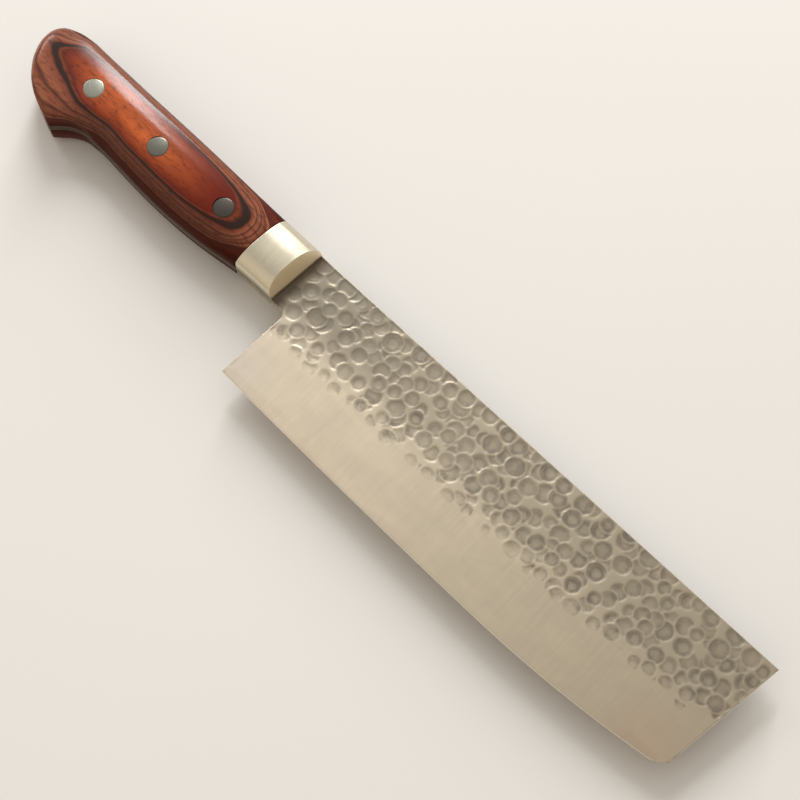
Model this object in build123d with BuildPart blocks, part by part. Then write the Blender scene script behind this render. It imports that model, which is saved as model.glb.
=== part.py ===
from build123d import *

import os
from math import asin, cos, degrees, pi, radians, sin, tan
from random import Random

# Nakiri knife, lying on its left side. +X runs to the tip, +Y to the spine, +Z out of the right side.
# The origin is the centre of the footprint, level with the lowest point of the handle. Millimetres.

# Whole knife
blade_length = 165.0
blade_height = 45.3
handle_length = 111.5
handle_thickness = 17.4
handle_rise = 1.2

# Steel: a hard core between two softer outer layers
stock_thickness = 2.0
core_thickness = 0.6

# Blade outline: depths are measured down from the spine, places along from the heel
heel_rise = 1.5
heel_lean = 0.6
belly_start = 97.0
belly_radius = 390.0
front_angle = 7.5
tip_corner_radius = 6.0
choil_radius = 2.3

# Grind: a flat that turns into a wide cone towards the tip, and the honed edge
shoulder_depth = 24.0
ground_edge_thickness = 0.24
grind_radius = 700.0
hone_angle = 15.0
hone_width = 2.0
edge_land = 0.04

# Hammer marks: strikes of one domed hammer, in loose rows
hammer_radius = 42.0
strike_depth = 0.12
strike_pitch = 7.4
strike_row_pitch = 6.0
strike_first_row = 2.0
strike_rows = 5
strike_start = 3.0
strike_wander = 1.1
second_strike_offset = 2.6
depth_spread_share = 0.25
second_strike_share = 0.35
hammer_seed = 11

# Handle outline
neck_depth = 19.3
joint_depth = 19.5
palm_depth = 20.9
palm_place = 30.0
swell_depth = 21.9
swell_place = 48.0
waist_depth = 20.4
waist_place = 77.0
hook_start_depth = 22.2
hook_start_place = 86.0
hook_depth = 25.4
hook_place = 92.5
hook_round = 0.9
butt_round_length = 10.5
butt_round_height = 8.4
butt_low_depth = 17.9
butt_low_inset = 4.2
hook_slope_share = 0.42
joint_slope_share = 0.12

# Bolster
bolster_front = 4.6
bolster_rear = 18.5
bolster_lip = 1.0
bolster_facet_angle = 61.0

# Handle bond and rivets
bond_thickness = 0.1
rivet_count = 3
rivet_depth = 10.6
front_rivet_place = 32.6
rivet_pitch = 27.0
rivet_head_diameter = 6.4
rivet_seat_height = 4.6
rivet_tube_diameter = 4.6
rivet_pin_diameter = 3.0
rivet_hole_clearance = 0.1
rivet_end_gap = 0.4

# Crown of the handle at even steps from the heel back: height as a share of the half thickness,
# top line and belly line as shares of the hook's depth
crown_shares = [
    (0.690, 0.000, 0.765),
    (0.745, 0.000, 0.765),
    (0.800, 0.000, 0.775),
    (0.875, 0.010, 0.820),
    (0.935, 0.020, 0.855),
    (0.975, 0.030, 0.865),
    (0.995, 0.040, 0.855),
    (1.000, 0.045, 0.835),
    (0.990, 0.050, 0.825),
    (0.970, 0.050, 0.885),
    (0.915, 0.050, 1.030),
    (0.770, 0.035, 0.870),
    (0.350, -0.200, 0.680),
]
crown_step_share = 0.085
crown_overhang = 0.4

overrun = 5.0

# Where the heel, the spine and the middle of the steel lie in the part's frame
heel_x = (handle_length - blade_length) / 2
spine_y = (blade_height - handle_rise) / 2
mid_z = handle_thickness / 2
mid_plane = Plane((heel_x, spine_y, mid_z))

half_stock = stock_thickness / 2
half_core = core_thickness / 2
half_edge = ground_edge_thickness / 2
half_land = edge_land / 2
bond_outside = half_stock + bond_thickness
hammer_face_height = strike_depth * (1 + 2 * depth_spread_share)
from_below = (Align.CENTER, Align.CENTER, Align.MIN)
from_above = (Align.CENTER, Align.CENTER, Align.MAX)

# The edge is two arcs that meet where the belly starts, with their centres above the spine
heel_height = blade_height - heel_rise
heel_radius = (belly_start**2 + heel_rise**2) / (2 * heel_rise)
heel_sweep = degrees(asin(belly_start / heel_radius))
belly_sweep = degrees(asin((blade_length - belly_start + overrun) / belly_radius))
grind_sweep = degrees(asin((blade_length - belly_start + overrun) / grind_radius))
overrun_sweep = degrees(asin(overrun / heel_radius))
front_foot = blade_length - (blade_height + overrun) * tan(radians(front_angle))

os.makedirs("parts", exist_ok=True)


def across(place):
    """The plane square to the knife's length at a place ahead of the heel: x across, y up."""
    origin = (heel_x + place, spine_y, mid_z)
    return Plane(origin, x_dir=(0, 1, 0), z_dir=(1, 0, 0))


def spot(x, y, height):
    """A place given from the heel, the spine and the middle of the steel."""
    return Location((heel_x + x, spine_y + y, mid_z + height))


def swing_axis(radius, direction):
    """The axis that a section at the start of the belly swings about, forwards for +1."""
    centre = (heel_x + belly_start, spine_y + radius - blade_height, mid_z)
    return Axis(centre, (0, 0, direction))


def save(builder, name):
    """Label a finished piece and write its file."""
    builder.part.label = name
    export_step(builder.part, f"parts/{name}.step")


# Blade in plan, from under the bolster to the tip
with BuildSketch(mid_plane) as blade_outline:
    with BuildLine():
        Polyline(
            (-bolster_front, 0),
            (blade_length, 0),
            (front_foot, -blade_height - overrun),
            (0, -blade_height - overrun),
            (0, -heel_height),
            (heel_lean, -neck_depth),
            (-bolster_front, -neck_depth),
            close=True,
        )
    make_face()
    choil = blade_outline.vertices().group_by(Axis.Y)[-2].sort_by(Axis.X)[-1]
    fillet(choil, radius=choil_radius)
    with BuildLine():
        heel_centre = (belly_start, heel_radius - blade_height)
        belly_centre = (belly_start, belly_radius - blade_height)
        heel_run = CenterArc(heel_centre, heel_radius, 270, -heel_sweep)
        belly_run = CenterArc(belly_centre, belly_radius, 270, belly_sweep)
        waste_foot = -blade_height - 2 * overrun
        Polyline(
            heel_run @ 1,
            (-overrun, -heel_height),
            (-overrun, waste_foot),
            (blade_length + overrun, waste_foot),
            (blade_length + overrun, (belly_run @ 1).Y),
            belly_run @ 1,
        )
    make_face(mode=Mode.SUBTRACT)
    tip_corner = blade_outline.vertices().sort_by(Axis.X)[-2]
    fillet(tip_corner, radius=tip_corner_radius)

# Handle in plan, bolster included. The tang shows all round it, so the steel has this outline too.
with BuildSketch(mid_plane) as handle_outline:
    with BuildLine():
        butt_end = -handle_length
        round_start = butt_end + butt_round_length
        round_centre = (round_start, handle_rise - butt_round_height)
        hook = (-hook_place, -hook_depth)
        Line((-bolster_front, -neck_depth), (-bolster_front, 0))
        Line((-bolster_front, 0), (-bolster_rear, 0))
        Spline((-bolster_rear, 0), (round_start, handle_rise), tangents=[(-1, 0), (-1, 0)])
        EllipticalCenterArc(round_centre, butt_round_length, butt_round_height, 90, arc_size=90)
        Spline(
            (butt_end, handle_rise - butt_round_height),
            (butt_end + butt_low_inset, -butt_low_depth),
            hook,
            tangents=[(0, -1), (1, -hook_slope_share)],
        )
        Spline(
            hook,
            (-hook_start_place, -hook_start_depth),
            (-waist_place, -waist_depth),
            (-swell_place, -swell_depth),
            (-palm_place, -palm_depth),
            (-bolster_rear, -joint_depth),
            tangents=[(1, hook_slope_share), (1, joint_slope_share)],
        )
        Line((-bolster_rear, -joint_depth), (-bolster_front, -neck_depth))
    make_face()
    fillet(handle_outline.vertices().sort_by(Axis.Y)[0], radius=hook_round)

# Blade and full tang in one outline
with BuildSketch(mid_plane) as steel_outline:
    add(blade_outline.sketch_local)
    add(handle_outline.sketch_local)

# Rounded volume that bolster and scales are finished to
with BuildPart() as handle_form:
    for step, (height_share, top_share, belly_share) in enumerate(crown_shares):
        top = top_share * hook_depth + crown_overhang
        belly = -belly_share * hook_depth - crown_overhang
        with BuildSketch(across(-step * crown_step_share * handle_length)):
            with Locations((top / 2 + belly / 2, 0)):
                Ellipse((top - belly) / 2, height_share * handle_thickness / 2)
    loft()
    extrude(handle_outline.sketch, amount=handle_thickness, both=True, mode=Mode.INTERSECT)


def waste_section(slope, reach, edge_height):
    """Section of what a stone takes off the right side, sloping up from the edge's lowest line."""
    foot = -blade_height - overrun
    inner = reach - blade_height
    top = half_stock + overrun
    with BuildSketch(across(belly_start)) as section:
        with BuildLine():
            Polyline(
                (foot, edge_height - overrun * slope),
                (inner, edge_height + reach * slope),
                (inner, top),
                (foot, top),
                close=True,
            )
        make_face()
    return section.sketch


def strikes(seed):
    """Where the hammer lands on one side, and how deep its face sinks."""
    chance = Random(seed)
    landings = []
    for row in range(strike_rows):
        row_start = strike_start + row % 2 * strike_pitch / 2
        for step in range(int((blade_length - row_start) / strike_pitch) + 1):
            x = row_start + step * strike_pitch
            y = -strike_first_row - row * strike_row_pitch
            x += chance.uniform(-strike_wander, strike_wander)
            y += chance.uniform(-strike_wander, strike_wander)
            hits = [(x, y)]
            if chance.random() < second_strike_share:
                turn = chance.uniform(0, 2 * pi)
                hits.append((x + second_strike_offset * cos(turn), y + second_strike_offset * sin(turn)))
            for hit_x, hit_y in hits:
                depth = strike_depth * (1 + chance.uniform(-depth_spread_share, depth_spread_share))
                landings.append(spot(hit_x, hit_y, half_stock - depth))
    return landings


# Domed face of the hammer, its lowest point at the origin
with BuildPart() as hammer_face:
    with Locations((0, 0, hammer_radius)):
        Sphere(hammer_radius)
    Cylinder(hammer_radius, hammer_face_height, align=from_below, mode=Mode.INTERSECT)

grind_slope = (half_stock - half_edge) / (blade_height - shoulder_depth)
grind_section = waste_section(grind_slope, blade_height - shoulder_depth + overrun, half_edge)
hone_section = waste_section(tan(radians(hone_angle)), hone_width, half_land)

with BuildPart() as grind_right:
    extrude(grind_section, amount=-belly_start - overrun)
    revolve(grind_section, axis=swing_axis(grind_radius, 1), revolution_arc=grind_sweep)

with BuildPart() as hone_right:
    revolve(hone_section, axis=swing_axis(heel_radius, -1), revolution_arc=heel_sweep + overrun_sweep)
    revolve(hone_section, axis=swing_axis(belly_radius, 1), revolution_arc=belly_sweep)

rivet_xs = [-front_rivet_place - number * rivet_pitch for number in range(rivet_count)]
rivet_spots = [spot(x, -rivet_depth, 0) for x in rivet_xs]
rivet_hole_radius = rivet_tube_diameter / 2 + rivet_hole_clearance

with BuildPart() as core_steel:
    extrude(steel_outline.sketch, amount=half_core, both=True)
    for stone in (grind_right, hone_right):
        add(stone.part, mode=Mode.SUBTRACT)
        add(mirror(stone.part, about=mid_plane, mode=Mode.PRIVATE), mode=Mode.SUBTRACT)
    with Locations(*rivet_spots):
        Hole(rivet_hole_radius)


def cladding(seed):
    """One outer layer as it lies on the right side: hammered first, then ground and honed."""
    with BuildPart() as layer:
        extrude(steel_outline.sketch, amount=half_stock)
        split(bisect_by=mid_plane.offset(half_core), keep=Keep.TOP)
        with Locations(*strikes(seed)):
            add(hammer_face.part, mode=Mode.SUBTRACT)
        add(grind_right.part, mode=Mode.SUBTRACT)
        add(hone_right.part, mode=Mode.SUBTRACT)
        with Locations(*rivet_spots):
            Hole(rivet_hole_radius)
    return layer.part


with BuildPart() as cladding_right:
    add(cladding(hammer_seed))

with BuildPart() as cladding_left:
    mirror(cladding(hammer_seed + 1), about=mid_plane)


# Bolster: half on each side of the tang, with a facet sloping down to the blade
facet_origin = (heel_x - bolster_front, spine_y, mid_z + half_stock + bolster_lip)
facet_lean = radians(bolster_facet_angle)
facet_plane = Plane(facet_origin, x_dir=(0, 1, 0), z_dir=(sin(facet_lean), 0, cos(facet_lean)))

with BuildPart() as bolster_right:
    add(handle_form.part)
    split(bisect_by=mid_plane.offset(half_stock), keep=Keep.TOP)
    split(bisect_by=across(-bolster_rear), keep=Keep.TOP)
    split(bisect_by=facet_plane, keep=Keep.BOTTOM)

with BuildPart() as bolster_left:
    mirror(bolster_right.part, about=mid_plane)

# Films of epoxy between the tang and the scales
with BuildPart() as bond_right:
    extrude(handle_outline.sketch, amount=bond_outside)
    split(bisect_by=mid_plane.offset(half_stock), keep=Keep.TOP)
    split(bisect_by=across(-bolster_rear), keep=Keep.BOTTOM)
    with Locations(*rivet_spots):
        Hole(rivet_hole_radius)

with BuildPart() as bond_left:
    mirror(bond_right.part, about=mid_plane)

# Scales of layered wood, counterbored for the rivet heads
with BuildPart() as scale_right:
    add(handle_form.part)
    split(bisect_by=mid_plane.offset(bond_outside), keep=Keep.TOP)
    split(bisect_by=across(-bolster_rear), keep=Keep.BOTTOM)
    with Locations(*[spot(x, -rivet_depth, handle_thickness / 2) for x in rivet_xs]):
        CounterBoreHole(
            radius=rivet_hole_radius,
            counter_bore_radius=rivet_head_diameter / 2,
            counter_bore_depth=handle_thickness / 2 - rivet_seat_height,
        )

with BuildPart() as scale_left:
    mirror(scale_right.part, about=mid_plane)

save(core_steel, "core_steel")
save(cladding_right, "cladding_right")
save(cladding_left, "cladding_left")
save(bolster_right, "bolster_right")
save(bolster_left, "bolster_left")
save(bond_right, "bond_right")
save(bond_left, "bond_left")
save(scale_right, "scale_right")
save(scale_left, "scale_left")

# Two-part rivets: a tube with its head on the right takes a pin with its head on the left
tube_end = rivet_seat_height - rivet_end_gap
pin_length = 2 * rivet_seat_height - rivet_end_gap

for name, x in zip(("front_rivet", "middle_rivet", "rear_rivet"), rivet_xs):
    with BuildPart() as rivet_socket:
        with Locations(spot(x, -rivet_depth, rivet_seat_height)):
            Cylinder(rivet_head_diameter / 2, handle_thickness, align=from_below)
        add(handle_form.part, mode=Mode.INTERSECT)
        with Locations(spot(x, -rivet_depth, rivet_seat_height)):
            Cylinder(rivet_tube_diameter / 2, rivet_seat_height + tube_end, align=from_above)
        with Locations(spot(x, -rivet_depth, -tube_end)):
            Cylinder(rivet_pin_diameter / 2, pin_length, align=from_below, mode=Mode.SUBTRACT)

    with BuildPart() as rivet_pin:
        with Locations(spot(x, -rivet_depth, -rivet_seat_height)):
            Cylinder(rivet_head_diameter / 2, handle_thickness, align=from_above)
        add(handle_form.part, mode=Mode.INTERSECT)
        with Locations(spot(x, -rivet_depth, -rivet_seat_height)):
            Cylinder(rivet_pin_diameter / 2, pin_length, align=from_below)

    save(rivet_socket, f"{name}_socket")
    save(rivet_pin, f"{name}_pin")
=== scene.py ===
# %% [markdown]
# # A hammered vegetable knife
#
# The knife lies on its left side: the blade points along +X, the spine faces +Y and the right side faces up.
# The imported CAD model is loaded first, because it fixes where every piece goes. Then each visible piece gets
# a finer mesh than CAD gives it, in the same place, and a finish made of shader nodes.

from functools import partial
from math import cos, hypot, pi, radians, sin, sqrt, tan
from random import Random

import bmesh
import bpy
import numpy as np
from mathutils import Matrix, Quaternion, Vector
from mathutils.geometry import delaunay_2d_cdt


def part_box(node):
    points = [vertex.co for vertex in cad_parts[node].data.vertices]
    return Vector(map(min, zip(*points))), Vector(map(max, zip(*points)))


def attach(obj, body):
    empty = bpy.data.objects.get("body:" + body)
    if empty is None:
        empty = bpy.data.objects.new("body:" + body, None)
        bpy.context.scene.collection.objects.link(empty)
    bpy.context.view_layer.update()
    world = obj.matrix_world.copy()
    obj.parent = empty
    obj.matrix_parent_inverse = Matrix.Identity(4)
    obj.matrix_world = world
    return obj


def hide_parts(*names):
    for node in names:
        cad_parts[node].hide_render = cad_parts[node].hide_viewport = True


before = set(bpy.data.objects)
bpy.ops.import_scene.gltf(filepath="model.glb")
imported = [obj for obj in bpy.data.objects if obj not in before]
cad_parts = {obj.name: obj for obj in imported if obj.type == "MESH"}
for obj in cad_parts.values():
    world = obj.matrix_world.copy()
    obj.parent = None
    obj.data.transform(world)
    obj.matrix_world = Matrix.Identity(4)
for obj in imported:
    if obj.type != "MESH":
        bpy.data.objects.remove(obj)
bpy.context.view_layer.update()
print("CAD nodes", sorted(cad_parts))

# %% [markdown]
# ## Where things are
#
# Knife makers measure from the heel and from the spine, so all outlines below are written that way, in
# millimetres: x ahead of the heel, y up from the spine, and heights from the middle of the steel. One function
# turns such a place into metres in the frame.

# %% Heel, spine and middle of the steel
MM = 0.001
HANDLE_LENGTH = 111.5
HANDLE_RISE = 1.2

core_low, core_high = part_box("core_steel")
core_middle = (core_low.z + core_high.z) / 2 / MM
heel = Vector((core_low.x / MM + HANDLE_LENGTH, core_high.y / MM - HANDLE_RISE, core_middle))
print("heel, spine and middle of the steel in mm", [round(value, 3) for value in heel])


def at_x(x):
    """The frame's X in metres, of a distance ahead of the heel in mm."""
    return (heel.x + x) * MM


def at_y(y):
    """The frame's Y in metres, of a distance up from the spine in mm."""
    return (heel.y + y) * MM


def place(x, y, height):
    """Turn a place measured on the knife, in mm, into metres in the frame."""
    return at_x(x), at_y(y), (heel.z + height) * MM


# %% [markdown]
# ## Camera
#
# The camera stands where the photographer stood: nearly straight above, a little towards the tip and the edge.
# A long lens keeps the knife's outline almost free of perspective.

# %% Camera


def new_object(name, data):
    """Put a camera, a lamp or a mesh into the scene."""
    thing = bpy.data.objects.new(name, data)
    bpy.context.scene.collection.objects.link(thing)
    return thing


camera_data = bpy.data.cameras.new("camera")
camera_data.lens = 76.5
camera_data.sensor_width = 36
camera = new_object("camera", camera_data)
camera.location = (0.1195, -0.1015, 0.4543)
aim = Vector((0.01466, 0.00674, 0.0087))
camera.rotation_euler = (aim - camera.location).to_track_quat("-Z", "Y").to_euler()
bpy.context.scene.camera = camera
print("camera at", [round(value, 3) for value in camera.location])

# %% [markdown]
# ## Small helpers for node trees
#
# Geometry Nodes and shaders could be wired by hand in Blender's editor. Built in Python, they can be read and
# changed like a recipe. One helper adds a node and feeds its inputs, with values or with other nodes' outputs.
# The rest find their tree from what they are fed with, so that a formula stays short.

# %% Node helpers


def is_output(value):
    """Whether a value is another node's output."""
    return isinstance(value, bpy.types.NodeSocket)


def add_node(tree, kind, feeds=None, **settings):
    """Add a node. Its inputs are given by name or number, as values or as outputs to link."""
    node = tree.nodes.new(kind)
    for name, value in settings.items():
        setattr(node, name, value)
    for key, value in (feeds or {}).items():
        if is_output(value):
            tree.links.new(value, node.inputs[key])
        else:
            node.inputs[key].default_value = value
    return node


def wired(kind, feeds, **settings):
    """Add a node to the tree that its feeds come from."""
    source = next(value for value in feeds.values() if is_output(value))
    return add_node(source.id_data, kind, feeds, **settings)


def calc(operation, *values, clamp=False):
    """Add one Math step and return its result."""
    return wired("ShaderNodeMath", dict(enumerate(values)), operation=operation, use_clamp=clamp).outputs[0]


add, subtract, multiply, divide, power = (
    partial(calc, operation) for operation in ("ADD", "SUBTRACT", "MULTIPLY", "DIVIDE", "POWER"))


def vector_calc(operation, *values):
    """Add one Vector Math step and return its result."""
    result = "Value" if operation in ("LENGTH", "DISTANCE", "DOT_PRODUCT") else "Vector"
    return wired("ShaderNodeVectorMath", dict(enumerate(values)), operation=operation).outputs[result]


def flat_length(vector):
    """How long a vector is, seen from above."""
    return vector_calc("LENGTH", vector_calc("MULTIPLY", vector, (1, 1, 0)))


def split(vector):
    """The X, Y and Z of a vector."""
    return wired("ShaderNodeSeparateXYZ", {0: vector}).outputs


def noise(where, scale, detail, along=1, **more):
    """Soft random values from nought to one. An along below one draws them out lengthwise."""
    if along != 1:
        where = vector_calc("MULTIPLY", where, (along, 1, 1))
    return wired("ShaderNodeTexNoise", {"Vector": where, "Scale": scale, "Detail": detail, **more}).outputs["Fac"]


# %% Trees with named sockets


def new_tree(name, kind, inputs, outputs):
    """Start a tree. A number is the first value of a float input, and a word names another kind of socket."""
    tree = bpy.data.node_groups.new(name, kind)
    for label, value in inputs.items():
        word = value if isinstance(value, str) else "Float"
        socket = tree.interface.new_socket(label, in_out="INPUT", socket_type=f"NodeSocket{word}")
        if word == "Float":
            socket.default_value = value
    for label, word in outputs.items():
        tree.interface.new_socket(label, in_out="OUTPUT", socket_type=f"NodeSocket{word}")
    return tree, add_node(tree, "NodeGroupInput").outputs


def geometry_tree(name, inputs):
    """Start a Geometry Nodes tree that a modifier can run."""
    tree, given = new_tree(name, "GeometryNodeTree", {"Geometry": "Geometry", **inputs}, {"Geometry": "Geometry"})
    tree.is_modifier = True
    return tree, given


def end_tree(geometry, material):
    """End a Geometry Nodes tree: make instances real, set the material and put the result out."""
    real = wired("GeometryNodeRealizeInstances", {"Geometry": geometry}).outputs[0]
    finished = wired("GeometryNodeSetMaterial", {"Geometry": real, "Material": material}).outputs[0]
    wired("NodeGroupOutput", {"Geometry": finished})


def applied(piece, tree, **inputs):
    """Run a Geometry Nodes tree on a piece and keep the result as a plain mesh."""
    modifier = piece.modifiers.new(tree.name, "NODES")
    modifier.node_group = tree
    for socket in tree.interface.items_tree:
        if socket.in_out == "INPUT" and socket.name in inputs:
            modifier[socket.identifier] = inputs[socket.name]
    bpy.context.view_layer.update()
    mesh = bpy.data.meshes.new_from_object(piece.evaluated_get(bpy.context.evaluated_depsgraph_get()))
    mesh.name = piece.name
    old = piece.data
    piece.modifiers.remove(modifier)
    piece.data = mesh
    bpy.data.meshes.remove(old)


def write_numbers(mesh, label, numbers):
    """Keep a number for each point of a mesh, as an attribute that trees can read."""
    mesh.attributes.new(label, "FLOAT", "POINT").data.foreach_set("value", numbers)


# %% [markdown]
# ## Outlines
#
# The blade has a straight spine, a front that leans back, an edge made of two long arcs and a small rounded
# notch, the choil, where the heel meets the handle. Each of them is a formula, so a change of length or height
# carries through, which an outline traced point by point wouldn't do. The handle follows no such rule. It is one
# smooth line through points, with a single real corner: the hook that keeps the hand from slipping off the butt.

# %% Blade dimensions
BLADE_LENGTH = 165.0
BLADE_HEIGHT = 45.3
HEEL_RISE = 1.5
HEEL_LEAN = 0.6
BELLY_START = 97.0
BELLY_RADIUS = 390.0
FRONT_ANGLE = 7.5
TIP_CORNER_RADIUS = 6.0
CHOIL_RADIUS = 2.3
NECK_END = -4.6
NECK_DEPTH = 19.3
HEEL_RADIUS = (BELLY_START**2 + HEEL_RISE**2) / (2 * HEEL_RISE)

HALF_STOCK = 1.0
HALF_CORE = 0.3
HALF_EDGE = 0.12
HALF_LAND = 0.02
SHOULDER_DEPTH = 24.0
GRIND_RADIUS = 700.0
GRIND_SLOPE = (HALF_STOCK - HALF_EDGE) / (BLADE_HEIGHT - SHOULDER_DEPTH)
HONE_SLOPE = tan(radians(15))

# %% The handle's line, from the neck along the belly round the butt to the spine
HANDLE_POINTS = [
    (NECK_END, -NECK_DEPTH), (-12.0, -19.35), (-19.0, -19.6), (-30.0, -21.0), (-40.0, -21.8), (-49.0, -22.0),
    (-58.0, -21.7), (-68.0, -21.0), (-77.0, -20.6), (-82.5, -20.75), (-86.0, -22.2), (-88.6, -24.3), (-90.6, -26.3),
    (-94.0, -25.3), (-99.0, -23.2), (-104.3, -19.8), (-107.8, -16.3), (-110.2, -12.3), (-111.4, -7.6),
    (-110.9, -4.2), (-109.4, -1.8), (-107.2, -0.4), (-104.6, 0.6), (-101.0, 1.1), (-97.0, 1.15), (-91.0, 0.95),
    (-77.0, 0.8), (-62.0, 0.7), (-45.0, 0.5), (-32.0, 0.2), (-19.0, 0.0), (NECK_END, 0.0),
]
HOOK_POINT = 12

# %% Lines of edge, weld, front and heel


def edge_line(x):
    """Depth of the cutting edge."""
    if x < BELLY_START:
        return HEEL_RADIUS - BLADE_HEIGHT - sqrt(HEEL_RADIUS**2 - (x - BELLY_START) ** 2)
    return BELLY_RADIUS - BLADE_HEIGHT - sqrt(BELLY_RADIUS**2 - (x - BELLY_START) ** 2)


def weld_line(x):
    """Depth at which the grind has cut through the outer layer, so that the core shows below."""
    radius = GRIND_RADIUS - (HALF_CORE - HALF_EDGE) / GRIND_SLOPE
    return GRIND_RADIUS - BLADE_HEIGHT - sqrt(radius**2 - max(x - BELLY_START, 0) ** 2)


def front_line(y):
    """How far ahead of the heel the front of the blade is."""
    return BLADE_LENGTH + y * tan(radians(FRONT_ANGLE))


def heel_line(y):
    """How far ahead of the heel's foot its leaning face is."""
    return HEEL_LEAN * (y + BLADE_HEIGHT - HEEL_RISE) / (BLADE_HEIGHT - HEEL_RISE - NECK_DEPTH)


# %% Rounded corners and smooth lines


def rounded(before, corner, after, radius, steps=10):
    """Points of an arc that rounds the corner between two directions."""
    corner = Vector(corner)
    back = (Vector(before) - corner).normalized()
    ahead = (Vector(after) - corner).normalized()
    half = back.angle(ahead) / 2
    centre = corner + (back + ahead).normalized() * radius / sin(half)
    start = corner + back * radius / tan(half) - centre
    end = corner + ahead * radius / tan(half) - centre
    turn = start.angle(end)
    arc = []
    for step in range(steps + 1):
        share = step / steps
        arm = (start * sin((1 - share) * turn) + end * sin(share * turn)) / sin(turn)
        arc.append(tuple(centre + arm))
    return arc


def smooth_between(a, b, leaving, arriving, t):
    """A share t of the way along a smooth curve from a to b, with its slopes at both ends."""
    return (a * (2 * t**3 - 3 * t**2 + 1) + leaving * (t**3 - 2 * t**2 + t)
            + (b * (3 * t**2 - 2 * t**3) + arriving * (t**3 - t**2)))


def through(points, corners, spacing=0.9):
    """A smooth line through points, straight on at both ends and at its corners."""
    line = []
    count = len(points)
    for number in range(count - 1):
        a, b = Vector(points[number]), Vector(points[number + 1])
        slopes = []
        for here in (number, number + 1):
            if here in corners or here in (0, count - 1):
                slopes.append(b - a)
            else:
                before, at, after = (Vector(points[here + shift]) for shift in (-1, 0, 1))
                near, far = (at - before).length, (after - at).length
                slope = ((at - before) / near * far + (after - at) / far * near) / (near + far)
                slopes.append(slope * (b - a).length)
        steps = max(2, round((b - a).length / spacing))
        line += [tuple(smooth_between(a, b, *slopes, step / steps)) for step in range(steps)]
    line.append(tuple(points[-1]))
    return line


# %% Outlines of core and outer layers


def blade_line(bottom_line, tip_radius, spacing=1.0):
    """The blade's outline from above the neck round the tip to the neck again, down to a bottom line."""
    x, y = BLADE_LENGTH, 0.0
    for _ in range(30):  # Bottom and front are read in turn until both agree on the tip.
        y = bottom_line(x)
        x = front_line(y)
    stops = np.linspace(x, HEEL_LEAN * 0.02, 170)
    bottom = [(stop, bottom_line(stop)) for stop in stops]
    spine = [(stop, 0.0) for stop in np.arange(-4.0, BLADE_LENGTH - spacing / 2, spacing)] + [(BLADE_LENGTH, 0.0)]
    front = [(front_line(depth), depth) for depth in np.arange(-spacing, y + 1.0, -spacing)]
    if tip_radius:
        arc = rounded(front[-8], bottom[0], bottom[6], tip_radius)
        front = [spot for spot in front if spot[1] > arc[0][1] + 0.3]
        bottom = arc + [spot for spot in bottom if spot[0] < arc[-1][0] - 0.3]
    heel_foot = bottom_line(0.0)
    bottom[-1] = (heel_line(heel_foot), heel_foot)
    choil = rounded(bottom[-1], (HEEL_LEAN, -NECK_DEPTH), (NECK_END, -NECK_DEPTH), CHOIL_RADIUS)
    heel_face = [(heel_line(depth), depth) for depth in np.linspace(heel_foot, choil[0][1], 26)[1:-1]]
    return spine + front + bottom + heel_face + choil + [(-3.0, -NECK_DEPTH)]


handle_line = through(HANDLE_POINTS, {HOOK_POINT})
core_outline = blade_line(edge_line, TIP_CORNER_RADIUS) + handle_line
layer_outline = blade_line(weld_line, 0, 0.4) + handle_line
print("outline points: core", len(core_outline), "outer layers", len(layer_outline), "handle", len(handle_line))

# %% [markdown]
# ## Plates
#
# Every flat-lying piece here, from the steel to the bolster and the wood, is a plate: an outline, a height over
# each point of it, and a base. An extruded curve with a Bevel modifier would do for a flat one, but not for a
# crown or a grind. So Blender's own Delaunay function fills the outline with even triangles. It keeps given
# lines as edges, and a crease such as the shoulder of a facet stays sharp. Loops just inside the rim round it.

# %% Distances and fills


def distance_to(line, spots):
    """Distance from each spot to the nearest part of a closed line."""
    starts = np.array(line)
    runs = np.roll(starts, -1, axis=0) - starts
    lengths = (runs**2).sum(axis=1)
    nearest = np.full(len(spots), 1e9)
    for start, run, length in zip(starts, runs, lengths):
        if length > 0:
            share = np.clip(((spots - start) @ run) / length, 0, 1)
            gap = spots - start - share[:, None] * run
            nearest = np.minimum(nearest, np.hypot(gap[:, 0], gap[:, 1]))
    return nearest


def inside(line, spots):
    """Whether each spot is inside a closed line."""
    result = np.zeros(len(spots), bool)
    x, y = spots[:, 0], spots[:, 1]
    for (ax, ay), (bx, by) in zip(line, line[1:] + line[:1]):
        if ay != by:
            crossing = ((ay > y) != (by > y)) & (x < (bx - ax) * (y - ay) / (by - ay) + ax)
            result ^= crossing
    return result


def inset(line, depth):
    """The points of a closed clockwise line, moved inwards."""
    spots = np.array(line)
    ahead = np.roll(spots, -1, axis=0) - spots
    back = spots - np.roll(spots, 1, axis=0)
    ahead /= np.linalg.norm(ahead, axis=1)[:, None]
    back /= np.linalg.norm(back, axis=1)[:, None]
    along = ahead + back
    along /= np.linalg.norm(along, axis=1)[:, None]
    moved = spots + np.stack([along[:, 1], -along[:, 0]], axis=1) * depth
    return moved[distance_to(line, moved) > depth * 0.9]


def lattice(line, spacing, zone=None):
    """Evenly staggered spots inside a closed line, or inside the part of it that is in a zone."""
    low, high = np.array(line).min(axis=0), np.array(line).max(axis=0)
    if zone:
        low, high = np.maximum(low, zone[0]), np.minimum(high, zone[1])
    rows = []
    for number, y in enumerate(np.arange(low[1], high[1], spacing * sqrt(3) / 2)):
        xs = np.arange(low[0] + (number % 2) * spacing / 2, high[0], spacing)
        rows.append(np.stack([xs, np.full(len(xs), y)], axis=1))
    spots = np.concatenate(rows)
    spots = spots[inside(line, spots)]
    return spots[distance_to(line, spots) > spacing * 0.6]


# %% Fill an outline with triangles


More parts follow.
